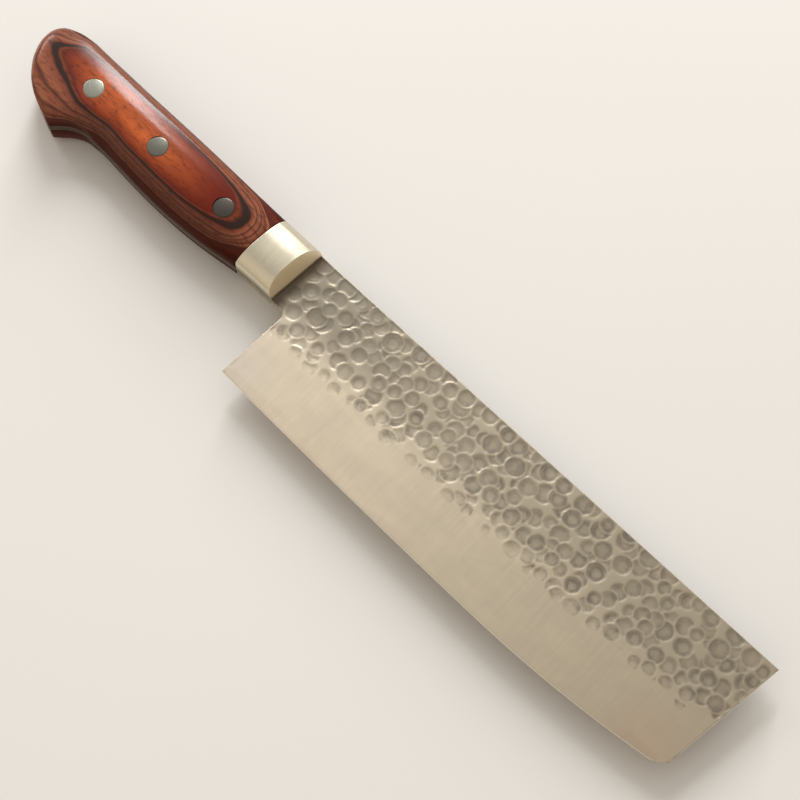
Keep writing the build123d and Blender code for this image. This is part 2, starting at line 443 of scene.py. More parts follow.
def fill(loops, spots, lines=()):
    """Triangles over an outline with holes, with spots and lines in it: places, triangles, loop numbers."""
    places = []
    edges = []
    for loop in loops:
        first = len(places)
        places += [tuple(spot) for spot in loop]
        edges += [(first + n, first + (n + 1) % len(loop)) for n in range(len(loop))]
    rim = len(places)
    for line in lines:
        first = len(places)
        places += [tuple(spot) for spot in line]
        edges += [(first + n, first + n + 1) for n in range(len(line) - 1)]
    places += [tuple(spot) for spot in spots]
    found = delaunay_2d_cdt([Vector(spot) for spot in places], edges, [], 1, 1e-6)
    spots_out = np.array([(spot.x, spot.y) for spot in found[0]])
    triangles = np.array([face for face in found[2] if len(face) == 3])
    middles = spots_out[triangles].mean(axis=1)
    keep = inside(loops[0], middles)
    for hole in loops[1:]:
        keep &= ~inside(hole, middles)
    number_of = {}
    for number, sources in enumerate(found[3]):
        for source in sources:
            if source < rim:
                number_of[source] = number
    return spots_out, triangles[keep], [number_of[n] for n in range(rim)]


# %% [markdown]
# A plate's top and bottom are filled in the same way, and walls join them along the rim. Edges sharper than a
# set angle are marked sharp, so smooth shading stops there, and a plate can be mirrored for the left side.

# %% The plate maker


def plate(name, loops, top, bottom, spots, lines=(), ease=None, mirrored=False, sharp=40):
    """Make a closed plate. Top and bottom are heights, as numbers or as functions of spots."""
    upper, faces, rim = fill(loops, spots, lines)
    flat_base = not callable(bottom)
    lower, lower_faces, lower_rim = fill(loops, []) if flat_base else (upper, faces, rim)
    upper_heights = top(upper) if callable(top) else np.full(len(upper), float(top))
    lower_heights = np.full(len(lower), float(bottom)) if flat_base else bottom(lower)
    places = [place(x, y, h) for (x, y), h in zip(upper, upper_heights)]
    places += [place(x, y, h) for (x, y), h in zip(lower, lower_heights)]
    count = len(upper)
    polygons = [tuple(face) for face in faces]
    polygons += [tuple(count + n for n in reversed(face)) for face in lower_faces]
    first = 0
    for loop in loops:
        for n in range(len(loop)):
            a, b = first + n, first + (n + 1) % len(loop)
            polygons.append((rim[a], rim[b], count + lower_rim[b], count + lower_rim[a]))
        first += len(loop)
    mesh = bpy.data.meshes.new(name)
    mesh.from_pydata(places, [], polygons)
    drops = ease(upper) if ease else np.zeros(count)
    write_numbers(mesh, "top", [1.0] * count + [0.0] * len(lower))
    write_numbers(mesh, "ease", [float(drop) * MM for drop in drops] + [0.0] * len(lower))
    piece = new_object(name, mesh)
    close(piece, mirrored, sharp)
    return piece


def close(piece, mirrored=False, sharp=40):
    """Merge doubles, mirror the piece for the left side if asked, turn faces outwards and mark sharp edges."""
    shape = bmesh.new()
    shape.from_mesh(piece.data)
    if mirrored:
        for corner in shape.verts:
            corner.co.z = 2 * heel.z * MM - corner.co.z
    bmesh.ops.remove_doubles(shape, verts=shape.verts, dist=1e-7)
    bmesh.ops.dissolve_degenerate(shape, edges=shape.edges, dist=1e-8)
    bmesh.ops.recalc_face_normals(shape, faces=shape.faces)
    for face in shape.faces:
        face.smooth = True
    for edge in shape.edges:
        if len(edge.link_faces) == 2:
            edge.smooth = edge.calc_face_angle(0) < radians(sharp)
    shape.to_mesh(piece.data)
    shape.free()


# %% [markdown]
# ## The core
#
# The knife is forged from three layers. The hard core is the one that reaches the edge, and it shows as a bare
# strip along it. It thins with the wide grind, and the last half millimetre is honed at 15 degrees. Grind and
# hone could be cut off with Booleans. As formulas for the half thickness they leave cleaner, sharper creases.

# %% Ground and honed surface


def ground(spots):
    """Half thickness that the wide grind leaves."""
    ahead = np.maximum(spots[:, 0] - BELLY_START, 0)
    reach = np.hypot(ahead, spots[:, 1] + BLADE_HEIGHT - GRIND_RADIUS)
    return HALF_EDGE + GRIND_SLOPE * (GRIND_RADIUS - reach)


def honed(spots):
    """Half thickness that the hone leaves."""
    radius = np.where(spots[:, 0] < BELLY_START, HEEL_RADIUS, BELLY_RADIUS)
    reach = np.hypot(spots[:, 0] - BELLY_START, spots[:, 1] + BLADE_HEIGHT - radius)
    return HALF_LAND + HONE_SLOPE * np.maximum(radius - reach, 0)


def core_half(spots):
    """Half thickness of the core."""
    on_blade = np.where(spots[:, 0] > -0.5, np.minimum(ground(spots), honed(spots)), HALF_CORE)
    return np.minimum(HALF_CORE, np.maximum(on_blade, HALF_LAND))


# %% Creases and rivet holes
RIVET_FRONT = -32.6
RIVET_PITCH = 27.0
RIVET_DEPTH = -10.6
HOLE_RADIUS = 2.4
HOLE_CLEARANCE = 3.2
HONE_ENDS = (1.2, 156.5)
WELD_ENDS = (0.7, 158.8)

hone_height = (HALF_EDGE - HALF_LAND) / (HONE_SLOPE - GRIND_SLOPE)
hone_crease = [(x, edge_line(x) + hone_height) for x in np.linspace(*HONE_ENDS, 160)]
weld_crease = [(x, weld_line(x)) for x in np.linspace(*WELD_ENDS, 160)]
rivet_places = [(RIVET_FRONT - RIVET_PITCH * number, RIVET_DEPTH) for number in range(3)]


def ring(centre, radius, steps=40):
    """A round loop."""
    return [(centre[0] + radius * cos(2 * pi * n / steps), centre[1] + radius * sin(2 * pi * n / steps))
            for n in range(steps)]


def clear_of_rivets(spots, reach):
    """Whether each spot is further than a reach from every rivet."""
    return np.min([np.hypot(spots[:, 0] - x, spots[:, 1] - y) for x, y in rivet_places], axis=0) > reach


rivet_holes = [ring(spot, HOLE_RADIUS) for spot in rivet_places]

# %% Make the core
core_spots = lattice(core_outline, 3.0)
core_spots = core_spots[clear_of_rivets(core_spots, HOLE_CLEARANCE)]
core = plate("blade_core", [core_outline] + rivet_holes, core_half, lambda spots: -core_half(spots), core_spots,
             lines=[hone_crease, weld_crease], sharp=1.6)
core_heights = np.array([abs(corner.co.z / MM - heel.z) for corner in core.data.vertices])
write_numbers(core.data, "honed", np.clip((HALF_CORE - core_heights) / (HALF_CORE - HALF_EDGE), 0, 1))
print("core", len(core.data.polygons), "faces")

# %% [markdown]
# ## The hammered outer layers
#
# The softer steel outside the core is struck all over its upper half with a small domed hammer, and then ground
# flat towards the edge, which cuts the lowest marks into crescents. The hollows could be sculpted one by one, but
# they follow a rule, so Geometry Nodes make them: one point for each strike, and a Repeat Zone that stamps them
# one after another, each with a narrow ridge pushed up round it. The same seeded strikes shape the CAD solids;
# the smaller, lighter ones between them are only here.

# %% Where the hammer lands
HAMMER_SEED = 11
HAMMER_FACE_RADIUS = 42.0
STRIKE_DEPTH = 0.12
DEPTH_SPREAD = 0.25
STRIKE_PITCH = 7.4
STRIKE_START = 3.0
STRIKE_ROWS = 5
STRIKE_ROW_PITCH = 6.0
FIRST_ROW = -2.0
STRAY = 1.1
SECOND_STRIKE_CHANCE = 0.35
SECOND_STRIKE_OFFSET = 2.6
HOLLOW_SHARES = (0.78, 0.94)
LIGHT_STRIKES = 105
LIGHT_DEPTHS = (0.06, 0.11)
LIGHT_RADII = (2.2, 2.9)
LOWEST_STRIKE = -26.5
MIDDLE_DEPTHS = (0.0, 0.02, 0.035)


def strikes(seed):
    """Landings of the hammer on one side: place, depth, radius, depth of the middle, tone of the hollow."""
    chance = Random(seed)
    look = Random(seed + 100)
    marks = []
    for row in range(STRIKE_ROWS):
        row_start = STRIKE_START + row % 2 * STRIKE_PITCH / 2
        for step in range(int((BLADE_LENGTH - row_start) / STRIKE_PITCH) + 1):
            x = row_start + step * STRIKE_PITCH + chance.uniform(-STRAY, STRAY)
            y = FIRST_ROW - row * STRIKE_ROW_PITCH + chance.uniform(-STRAY, STRAY)
            hits = [(x, y)]
            if chance.random() < SECOND_STRIKE_CHANCE:
                turn = chance.uniform(0, 2 * pi)
                hits.append((x + SECOND_STRIKE_OFFSET * cos(turn), y + SECOND_STRIKE_OFFSET * sin(turn)))
            for hit_x, hit_y in hits:
                depth = STRIKE_DEPTH * (1 + chance.uniform(-DEPTH_SPREAD, DEPTH_SPREAD))
                radius = sqrt(2 * HAMMER_FACE_RADIUS * depth) * look.uniform(*HOLLOW_SHARES)
                middle = look.choice(MIDDLE_DEPTHS)
                marks.append((hit_x, hit_y, depth, radius, middle, look.uniform(0.75, 1.0)))
    taken = [(x, y) for x, y, *_ in marks]
    for _ in range(LIGHT_STRIKES):
        tries = [(look.uniform(-4.0, BLADE_LENGTH - 1.0), look.uniform(LOWEST_STRIKE, -1.0)) for _ in range(12)]
        x, y = max(tries, key=lambda spot: min(hypot(spot[0] - a, spot[1] - b) for a, b in taken))
        taken.append((x, y))
        depth = look.uniform(*LIGHT_DEPTHS)
        marks.append((x, y, depth, look.uniform(*LIGHT_RADII), look.choice(MIDDLE_DEPTHS), look.uniform(0.6, 0.95)))
    look.shuffle(marks)
    return marks


def strike_points(name, seed):
    """The strikes as loose points that carry their depth, radius, middle and tone."""
    marks = strikes(seed)
    mesh = bpy.data.meshes.new(name)
    mesh.from_pydata([place(x, y, 0) for x, y, *_ in marks], [], [])
    for column, (label, unit) in enumerate((("depth", MM), ("radius", MM), ("middle", MM), ("tone", 1)), 2):
        write_numbers(mesh, label, [mark[column] * unit for mark in marks])
    return new_object(name, mesh)


# %% Inputs of the tree that hammers and grinds a side
hammering, given = geometry_tree("hammered and ground side", {
    "Strikes": "Object", "Steel": "Material", "Half stock": HALF_STOCK * MM, "Wall steepness": 9.5,
    "Bowl share": 0.32, "Ridge width": 0.34 * MM, "Ridge strength": 0.65, "Ridge drop": 0.012 * MM,
    "Unevenness": 0.7 * MM, "Half edge": HALF_EDGE * MM, "Grind slope": GRIND_SLOPE,
    "Grind radius": GRIND_RADIUS * MM, "Grind centre X": at_x(BELLY_START),
    "Grind centre Y": at_y(GRIND_RADIUS - BLADE_HEIGHT), "Heel X": at_x(NECK_END), "Middle Z": heel.z * MM,
    "Spine Y": at_y(0), "Front X": at_x(BLADE_LENGTH), "Front lean": tan(radians(FRONT_ANGLE)),
    "Rim margin": 0.6 * MM,
})
points = wired("GeometryNodeObjectInfo", {"Object": given["Strikes"]}).outputs["Geometry"]
strike_count = wired("GeometryNodeAttributeDomainSize", {"Geometry": points}).outputs["Point Count"]
where = add_node(hammering, "GeometryNodeInputPosition").outputs[0]


def named(label):
    """Read a float attribute."""
    reader = add_node(hammering, "GeometryNodeInputNamedAttribute", {"Name": label}, data_type="FLOAT")
    return reader.outputs["Attribute"]


def stored(geometry, **values):
    """Write float attributes on the points."""
    for label, value in values.items():
        geometry = wired("GeometryNodeStoreNamedAttribute", {"Geometry": geometry, "Name": label, "Value": value},
                         data_type="FLOAT", domain="POINT").outputs[0]
    return geometry


def towards(value, target, share):
    """Move a value towards a target by a share."""
    return add(value, multiply(subtract(target, value), share))


def bell(value):
    """A bell-shaped bump round nought."""
    return calc("EXPONENT", multiply(multiply(value, value), -1.0))


# %% [markdown]
# Each turn of the Repeat Zone stamps one strike. In its hollow the height moves to the hammer's face and round
# the hollow to a low ridge. Two masks are kept for the finish: dent, the dull tone of each hollow's floor, which
# fades to a painted paler middle, and rim, painted shade: the dark ring where the wall rises.

# %% One strike after another
MIDDLE_SHARE = 0.55
TONE_STEEPNESS = 4.5
MIDDLE_TONE = 0.48
TONE_RISE = 1.1
RING_WIDTH = 0.3
RING_STRENGTH = 0.6

ripple = multiply(subtract(noise(where, 420.0, 1.5), 0.5), given["Unevenness"])
start = stored(given["Geometry"], hammered=given["Half stock"], dent=0.0, rim=0.0, ripple=ripple)
loop_in = hammering.nodes.new("GeometryNodeRepeatInput")
loop_out = hammering.nodes.new("GeometryNodeRepeatOutput")
loop_in.pair_with_output(loop_out)
hammering.links.new(strike_count, loop_in.inputs["Iterations"])
hammering.links.new(start, loop_in.inputs["Geometry"])


def of_strike(value, kind="FLOAT"):
    """A value of the strike whose turn it is."""
    turn_number = loop_in.outputs["Iteration"]
    return wired("GeometryNodeSampleIndex", {"Geometry": points, "Value": value, "Index": turn_number},
                 data_type=kind).outputs[0]


gap = add(flat_length(vector_calc("SUBTRACT", where, of_strike(where, "FLOAT_VECTOR"))), named("ripple"))
strike_radius = of_strike(named("radius"))
out_share = divide(gap, strike_radius, clamp=True)
share_squared = multiply(out_share, out_share)
in_mark = subtract(1.0, power(out_share, given["Wall steepness"]))
middle_radius = multiply(strike_radius, MIDDLE_SHARE)
middle = of_strike(named("middle"))
middle_drop = multiply(middle, subtract(1.0, power(divide(gap, middle_radius, clamp=True), 4.0)))
bowl = subtract(1.0, multiply(given["Bowl share"], share_squared))
mark_drop = add(multiply(of_strike(named("depth")), bowl), middle_drop)
mark_floor = subtract(given["Half stock"], mark_drop)
ridge = multiply(given["Ridge strength"], bell(divide(subtract(gap, strike_radius), given["Ridge width"])))
ridge_top = subtract(given["Half stock"], given["Ridge drop"])
stamped = towards(towards(named("hammered"), mark_floor, in_mark), ridge_top, ridge)

# Painted light: the floor's tone fades to a paler middle, and the rim mask is painted shade round the wall and the
# inner ring.
soft_wall = power(out_share, TONE_STEEPNESS)
painted_pale_middle = calc("MINIMUM", 1.0, add(MIDDLE_TONE, multiply(share_squared, TONE_RISE)))
in_tone = multiply(subtract(1.0, soft_wall), painted_pale_middle)
toned = towards(towards(named("dent"), of_strike(named("tone")), in_tone), 0.0, ridge)
off_middle = multiply(subtract(gap, middle_radius), 1 / (RING_WIDTH * MM))
inner_ring = multiply(multiply(middle, RING_STRENGTH / (max(MIDDLE_DEPTHS) * MM)), bell(off_middle))
rings = calc("MAXIMUM", soft_wall, inner_ring)
painted_rim_shade = towards(towards(named("rim"), rings, calc("GREATER_THAN", in_mark, 0.0)), 0.0, ridge)
struck_once = stored(loop_in.outputs["Geometry"], dent=toned, rim=painted_rim_shade, hammered=stamped)
hammering.links.new(struck_once, loop_out.inputs["Geometry"])

# %% Grind the bevel and end the tree
GROUND_BLEND = 0.02

across = split(where)
ahead = calc("MAXIMUM", subtract(across["X"], given["Grind centre X"]), 0.0)
beyond = subtract(given["Grind centre Y"], across["Y"])
reach = calc("SQRT", add(multiply(ahead, ahead), multiply(beyond, beyond)))
bevel = add(given["Half edge"], multiply(given["Grind slope"], subtract(given["Grind radius"], reach)))
below_spine = subtract(given["Spine Y"], across["Y"])
to_front = subtract(subtract(given["Front X"], across["X"]), multiply(given["Front lean"], below_spine))
off_edge = divide(calc("MINIMUM", below_spine, to_front), given["Rim margin"], clamp=True)
dented = towards(given["Half stock"], named("hammered"), off_edge)
on_blade = calc("GREATER_THAN", across["X"], given["Heel X"])
struck = add(multiply(dented, on_blade), multiply(given["Half stock"], subtract(1.0, on_blade)))
ground_share = multiply(subtract(struck, bevel), 1 / (GROUND_BLEND * MM), clamp=True)
height = add(given["Middle Z"], subtract(calc("MINIMUM", struck, bevel), named("ease")))
raised = wired("ShaderNodeCombineXYZ", {"X": across["X"], "Y": across["Y"], "Z": height}).outputs[0]
masked = stored(loop_out.outputs["Geometry"], dent=multiply(named("dent"), off_edge), ground=ground_share)
moved = wired("GeometryNodeSetPosition", {"Geometry": masked, "Selection": named("top"), "Position": raised})
end_tree(moved.outputs[0], given["Steel"])
print("hammering tree", len(hammering.nodes), "nodes")

# %% [markdown]
# The tree runs once on each side. Its result becomes a plain mesh, and the modifier goes, so the piece that
# rides on the knife is ordinary geometry. The triangles are fine where the hammer landed and wide elsewhere.

# %% Make both outer layers
HAMMER_SPACING = 0.32
HAMMER_ZONE = ((-4.7, -31.5), (BLADE_LENGTH, 0.0))
RIM_RADIUS = 0.25
THIN_BELOW = -38.0

rim_spots = np.concatenate([inset(layer_outline, depth) for depth in (0.06, 0.14, RIM_RADIUS, 0.45)])
fine_spots = lattice(layer_outline, HAMMER_SPACING, HAMMER_ZONE)
coarse_spots = lattice(layer_outline, 2.5)
in_zone = (coarse_spots[:, 0] > HAMMER_ZONE[0][0]) & (coarse_spots[:, 1] > HAMMER_ZONE[0][1])
coarse_spots = coarse_spots[~in_zone & clear_of_rivets(coarse_spots, HOLE_CLEARANCE)]
layer_spots = np.concatenate([rim_spots, fine_spots, coarse_spots])
layer_spots = layer_spots[inside(layer_outline, layer_spots)]


def rim_ease(spots):
    """How far the rounded edge along the rim drops. The thin end along the core has none."""
    thick = np.clip(spots[:, 1] - THIN_BELOW, 0, 1)
    short = np.clip(RIM_RADIUS - distance_to(layer_outline, spots), 0, 0.95 * RIM_RADIUS)
    return thick * (RIM_RADIUS - np.sqrt(RIM_RADIUS**2 - short**2))


layers = {}
for side, seed in (("right", HAMMER_SEED), ("left", HAMMER_SEED + 1)):
    layer = plate(f"hammered_{side}", [layer_outline] + rivet_holes, HALF_STOCK, HALF_CORE, layer_spots,
                  ease=rim_ease)
    landings = strike_points(f"strikes_{side}", seed)
    applied(layer, hammering, Strikes=landings)
    bpy.data.objects.remove(landings)
    close(layer, mirrored=side == "left", sharp=50)
    layers[side] = layer
    print(layer.name, len(layer.data.polygons), "faces")

# %% [markdown]
# ## The crown of the handle
#
# Bolster and wood are finished together on the belt, to one rounded form. It could be modelled with a few loops
# and Subdivision Surface, but then the outline would creep. Here a few sections along the handle give it: how
# high each is, where its crest lies, how far it reaches on both sides, and how square its shoulders are. Between
# them every value changes smoothly. The hook is cut out of a much wider section, so its wall is almost upright.

# %% Sections of the crown
CROWN = np.array([
    # place, height, crest, top reach, belly reach, belly squareness
    (2.0, 7.00, -9.9, 0.45, -19.9, 2.6),
    (-9.0, 7.10, -9.9, 0.45, -19.9, 2.6),
    (-19.0, 7.20, -9.9, 0.50, -20.1, 2.6),
    (-28.4, 7.60, -9.8, 0.65, -21.3, 2.6),
    (-38.0, 8.10, -9.7, 0.85, -22.1, 2.6),
    (-52.0, 8.52, -9.6, 1.10, -22.5, 2.3),
    (-66.0, 8.68, -9.3, 1.20, -22.0, 2.15),
    (-77.0, 8.66, -9.1, 1.25, -21.7, 2.05),
    (-83.5, 8.56, -9.0, 1.40, -24.6, 2.2),
    (-88.0, 8.46, -9.0, 1.55, -29.5, 2.4),
    (-95.0, 8.22, -8.9, 1.75, -35.0, 2.6),
    (-103.0, 7.85, -8.8, 2.00, -31.0, 2.6),
    (-108.0, 7.45, -8.7, 1.90, -27.0, 2.6),
    (-113.0, 6.70, -8.7, 1.20, -24.0, 2.6),
])
TOP_SQUARENESS = 2.6


def smooth_rows(rows, x):
    """Every column of the rows at places x, by a smooth curve through the rows."""
    places = -rows[:, 0]
    at = np.clip(-x, places[0], places[-1] - 1e-6)
    n = np.clip(np.searchsorted(places, at, side="right") - 1, 0, len(places) - 2)
    slopes = np.gradient(rows[:, 1:], places, axis=0)
    width = (places[n + 1] - places[n])[:, None]
    t = ((at - places[n])[:, None]) / width
    return smooth_between(rows[n, 1:], rows[n + 1, 1:], slopes[n] * width, slopes[n + 1] * width, t).T


def crown(spots):
    """Height of the handle's rounded form above the middle of the steel."""
    tall, crest, top_reach, belly_reach, belly_square = smooth_rows(CROWN, spots[:, 0])
    above = spots[:, 1] > crest
    share = np.abs(spots[:, 1] - crest) / np.where(above, top_reach - crest, crest - belly_reach)
    square = np.where(above, TOP_SQUARENESS, belly_square)
    return tall * np.maximum(1 - np.minimum(share, 0.9999) ** square, 0) ** (1 / square)


handle_middle = np.array([(x, RIVET_DEPTH) for x in range(-10, -110, -20)])
print("crown heights along the rivets", [round(float(height), 2) for height in crown(handle_middle)])

# %% [markdown]
# ## Bolster
#
# A bolster half is welded to each side of the tang. Its front is ground to a slanting facet that runs down to
# a thin lip on the blade, and both of its end faces lean a little forwards at the spine. A Boolean could cut the
# facet. Here its line on the crown is found first and given to the fill, so that it stays one crisp edge.

# %% End faces, facet and rim of the bolster
BOLSTER_FRONT = -4.65
BOLSTER_REAR = -18.9
BOLSTER_SKEW = 0.05
BOLSTER_MIDDLE = -9.6
EDGE_BREAK = 0.06
BELLY_REAR = -19.5
CREASE_ENDS = (-0.35, -18.95)
FACET_SLOPE = tan(radians(63))
LIP = 1.0


def face_x(base, y):
    """Where a bolster face is at a depth: it leans forwards at the spine."""
    return base + BOLSTER_SKEW * (y - BOLSTER_MIDDLE)


def facet(spots):
    """Height of the slanting facet."""
    return HALF_STOCK + LIP + FACET_SLOPE * (face_x(BOLSTER_FRONT, spots[:, 1]) - spots[:, 0])


def bolster_top(spots):
    """The lower one of crown and facet, with the narrow rim rounded."""
    rim = distance_to(bolster_outline, spots)
    return np.minimum(crown(spots), facet(spots)) - EDGE_BREAK * np.clip(1 - rim / (2 * EDGE_BREAK), 0, 1)


def belly_depth(x):
    """The y of the handle's belly at a place."""
    belly = [(-a, b) for a, b in handle_line if b < BOLSTER_MIDDLE]
    return float(np.interp(-x, *zip(*sorted(belly))))


def bolster_loop():
    """The bolster's outline: slanted ends between spine and belly, clockwise from the front at the spine."""
    front = [(face_x(BOLSTER_FRONT, y), y) for y in np.linspace(0, -NECK_DEPTH, 60)]
    rear = [(face_x(BOLSTER_REAR, y), y) for y in np.linspace(BELLY_REAR, 0, 60)]
    belly = [(x, belly_depth(x)) for x in np.linspace(front[-1][0], rear[0][0], 44)]
    spine = [(x, 0.0) for x in np.linspace(rear[-1][0], front[0][0], 44)]
    return front[:-1] + belly[:-1] + rear[1:-1] + spine[:-1]


def crease_spot(y):
    """Where crown and facet meet at a depth: the first spot behind the front at which the crown is lower."""
    xs = np.linspace(face_x(BOLSTER_FRONT, y) - 0.05, face_x(BOLSTER_FRONT, y) - 5, 400)
    spots = np.stack([xs, np.full(len(xs), y)], axis=1)
    return float(xs[np.argmax(crown(spots) < facet(spots))]), float(y)


# %% Make both bolster halves
bolster_outline = bolster_loop()
crease = [crease_spot(y) for y in np.linspace(*CREASE_ENDS, 90)]
bolster_insets = [inset(bolster_outline, depth) for depth in (0.05, 0.12, 0.25)]
bolster_spots = np.concatenate(bolster_insets + [lattice(bolster_outline, 0.42)])
bolsters = {}
for side in ("right", "left"):
    bolsters[side] = plate(f"bolster_{side}_half", [bolster_outline], bolster_top, HALF_STOCK, bolster_spots,
                           lines=[crease], mirrored=side == "left", sharp=30)
    print(bolsters[side].name, len(bolsters[side].data.polygons), "faces")

# %% [markdown]
# ## Wooden scales and their bond
#
# The scales are blocks of thin red veneers pressed together with resin. Shaping cuts through the layers, so
# their joints show as rings round the crown, as contour lines do on a map. A painted image could show the rings,
# but they wouldn't follow the form. Each scale therefore keeps, as an attribute, the level in the block that
# every point lies at. Towards hook, butt and bolster the pressed layers dip, and over the hook they fan out.

# %% Outlines of wood and bond
BOND_TOP = 1.1
BOND_DEPTH = -19.55
HEAD_RADIUS = 3.2
WOOD_RIM = 0.35
RIM_STEPS = ((-99.0, 1.9), (-84.0, 0.35))
RIM_STEP_LENGTH = 8.0


def wood_loop():
    """The wood's outline, clockwise: the handle line behind the bolster, closed by the joint."""
    behind = [spot for spot in handle_line if spot[0] < face_x(BOLSTER_REAR, spot[1]) - 0.25]
    joint_x = face_x(BOLSTER_REAR, BOND_DEPTH)
    joint_belly = (joint_x, belly_depth(joint_x))
    joint = [(face_x(BOLSTER_REAR, y), float(y)) for y in np.linspace(0, joint_belly[1], 48)]
    return [joint_belly] + behind + joint[:-1]


wood_outline = wood_loop()
print("wood outline", len(wood_outline), "points")


def rim_round(spots):
    """How far the rounded rim of the wood drops: wide round the butt, narrow elsewhere."""
    behind = [(extra, np.clip((start - spots[:, 0]) / RIM_STEP_LENGTH, 0, 1)) for start, extra in RIM_STEPS]
    radius = sum((extra * share for extra, share in behind), WOOD_RIM)
    short = np.clip(radius - distance_to(wood_outline, spots), 0, None)
    return radius - np.sqrt(np.maximum(radius**2 - short**2, 0))


def wood_top(spots):
    """Height of the finished wood."""
    return np.maximum(crown(spots) - rim_round(spots), BOND_TOP + 0.2)


# %% Levels in the stack of veneers
HOOK_START = -78.0
HOOK_FULL = -95.0
HOOK_DIP = 0.12
HOOK_BENDS = ((-8.5, 1.2), (-14.5, 1.8))
HOOK_FAN = 0.58
FAN_START = -10.0
FAN_RUN = 6.0
DARK_RING = 7.2
BUTT_START = -97.0
BUTT_RUN = 8.0
BUTT_DIP = 0.06
BUTT_SLOPE = 0.15
BUTT_BEND = -9.0
BUTT_SOFTNESS = 1.2
FRONT_CREST = -9.9
FRONT_CURVE = 0.06
FRONT_BENDS = ((-23.6, 0.45), (-21.0, -0.27))
FRONT_SOFTNESS = 0.8


def eased_in(value, width):
    """Nought below nought and rising by one to one above it, with a soft bend between."""
    return width * np.logaddexp(0, value / width)


def eased_step(value):
    """A smooth step from nought to one."""
    value = np.clip(value, 0, 1)
    return value * value * (3 - 2 * value)


def over_hook(x):
    """Nought ahead of the hook and one over it."""
    return eased_step((x - HOOK_START) / (HOOK_FULL - HOOK_START))


def dip(spots):
    """How far the pressed layers dip towards the hook, the butt and the bolster."""
    x, y = spots[:, 0], spots[:, 1]
    hook_dip = over_hook(x) * HOOK_DIP * sum(eased_in(bend - y, width) for bend, width in HOOK_BENDS)
    butt_rise = BUTT_DIP + BUTT_SLOPE * eased_in(y - BUTT_BEND, BUTT_SOFTNESS)
    butt_dip = eased_step((BUTT_START - x) / BUTT_RUN) * butt_rise
    ahead = x + FRONT_CURVE * (y - FRONT_CREST) ** 2
    front_dip = sum(slope * eased_in(ahead - bend, FRONT_SOFTNESS) for bend, slope in FRONT_BENDS)
    return hook_dip + butt_dip + front_dip


def veneer_level(corners):
    """The level in the block at each corner. Below the dark ring the veneers fan out over the hook."""
    level = np.abs(corners[:, 2]) - dip(corners[:, :2])
    fanned = over_hook(corners[:, 0]) * eased_step((FAN_START - corners[:, 1]) / FAN_RUN)
    return level + HOOK_FAN * fanned * np.clip(DARK_RING - level, 0, None)


# %% Make wood and bond on both sides
head_holes = [ring(spot, HEAD_RADIUS, 56) for spot in rivet_places]
wood_insets = [inset(wood_outline, depth) for depth in (0.06, 0.15, 0.3, 0.55, 0.9, 1.4, 2.0)]
wood_spots = np.concatenate(wood_insets + [lattice(wood_outline, 0.75)])
wood_spots = wood_spots[clear_of_rivets(wood_spots, HEAD_RADIUS + 0.3) & inside(wood_outline, wood_spots)]
woods = {}
bonds = {}
for side in ("right", "left"):
    on_left = side == "left"
    woods[side] = plate(f"wood_{side}", [wood_outline] + head_holes, wood_top, BOND_TOP, wood_spots,
                        mirrored=on_left, sharp=38)
    corners = np.array([corner.co for corner in woods[side].data.vertices]) / MM - np.array(heel)
    write_numbers(woods[side].data, "level", veneer_level(corners) * MM)
    bonds[side] = plate(f"epoxy_{side}", [wood_outline] + rivet_holes, BOND_TOP, HALF_STOCK, [], mirrored=on_left)
    print(woods[side].name, len(woods[side].data.polygons), "faces")

# %% [markdown]
# ## Rivets
#
# Three two-part rivets hold the scales. Their heads are ground flush with the wood, so a head is a disc with a
# faintly domed face and a narrow broken edge. It could be modelled once and copied. As heads repeat, Geometry
# Nodes set one on each point instead, and a change of size reaches all of them. A point sits on the crown.

# %% Rivet heads
riveting, given = geometry_tree("rivet heads", {
    "Metal": "Material", "Head radius": (HEAD_RADIUS - 0.02) * MM, "Head depth": 3.4 * MM, "Dome": 0.12 * MM,
    "Broken edge": 0.07 * MM, "Edge start": 0.93,
})


def upwards(height):
    """A move straight up by a height."""
    return wired("ShaderNodeCombineXYZ", {"Z": height}).outputs[0]


drum = wired("GeometryNodeMeshCylinder", {"Vertices": 56, "Side Segments": 1, "Fill Segments": 14,
                                          "Radius": given["Head radius"], "Depth": given["Head depth"]},
             fill_type="TRIANGLE_FAN").outputs["Mesh"]
half_down = multiply(given["Head depth"], -0.5)
sunk = wired("GeometryNodeTransform", {"Geometry": drum, "Translation": upwards(half_down)}).outputs[0]
spot = add_node(riveting, "GeometryNodeInputPosition").outputs[0]
out = divide(flat_length(spot), given["Head radius"])
edge_share = divide(subtract(out, given["Edge start"]), subtract(1.0, given["Edge start"]), clamp=True)
lowered = add(multiply(given["Dome"], power(out, 2.0)), multiply(given["Broken edge"], edge_share))
on_face = calc("GREATER_THAN", split(spot)["Z"], half_down)
shaped = wired("GeometryNodeSetPosition", {"Geometry": sunk, "Selection": on_face,
                                           "Offset": upwards(multiply(lowered, -1.0))}).outputs[0]
dotted = wired("GeometryNodeInstanceOnPoints", {"Points": given["Geometry"], "Instance": shaped}).outputs[0]
end_tree(dotted, given["Metal"])

rivets = {}
head_heights = crown(np.array(rivet_places)) + 0.01
for side in ("right", "left"):
    mesh = bpy.data.meshes.new(f"rivet_heads_{side}")
    mesh.from_pydata([place(x, y, h) for (x, y), h in zip(rivet_places, head_heights)], [], [])
    heads = new_object(mesh.name, mesh)
    applied(heads, riveting)
    close(heads, mirrored=side == "left", sharp=25)
    rivets[side] = heads
    print(heads.name, len(heads.data.polygons), "faces")

# %% [markdown]
# ## Finishes
#
# Two effects are needed in several finishes: long fine scratches, as grinding and polishing leave them, and the
# faint cloudy smears of handling. They could be built anew in each material. As shader groups they are built
# once, put out plain masks, and each material decides what to do with them.

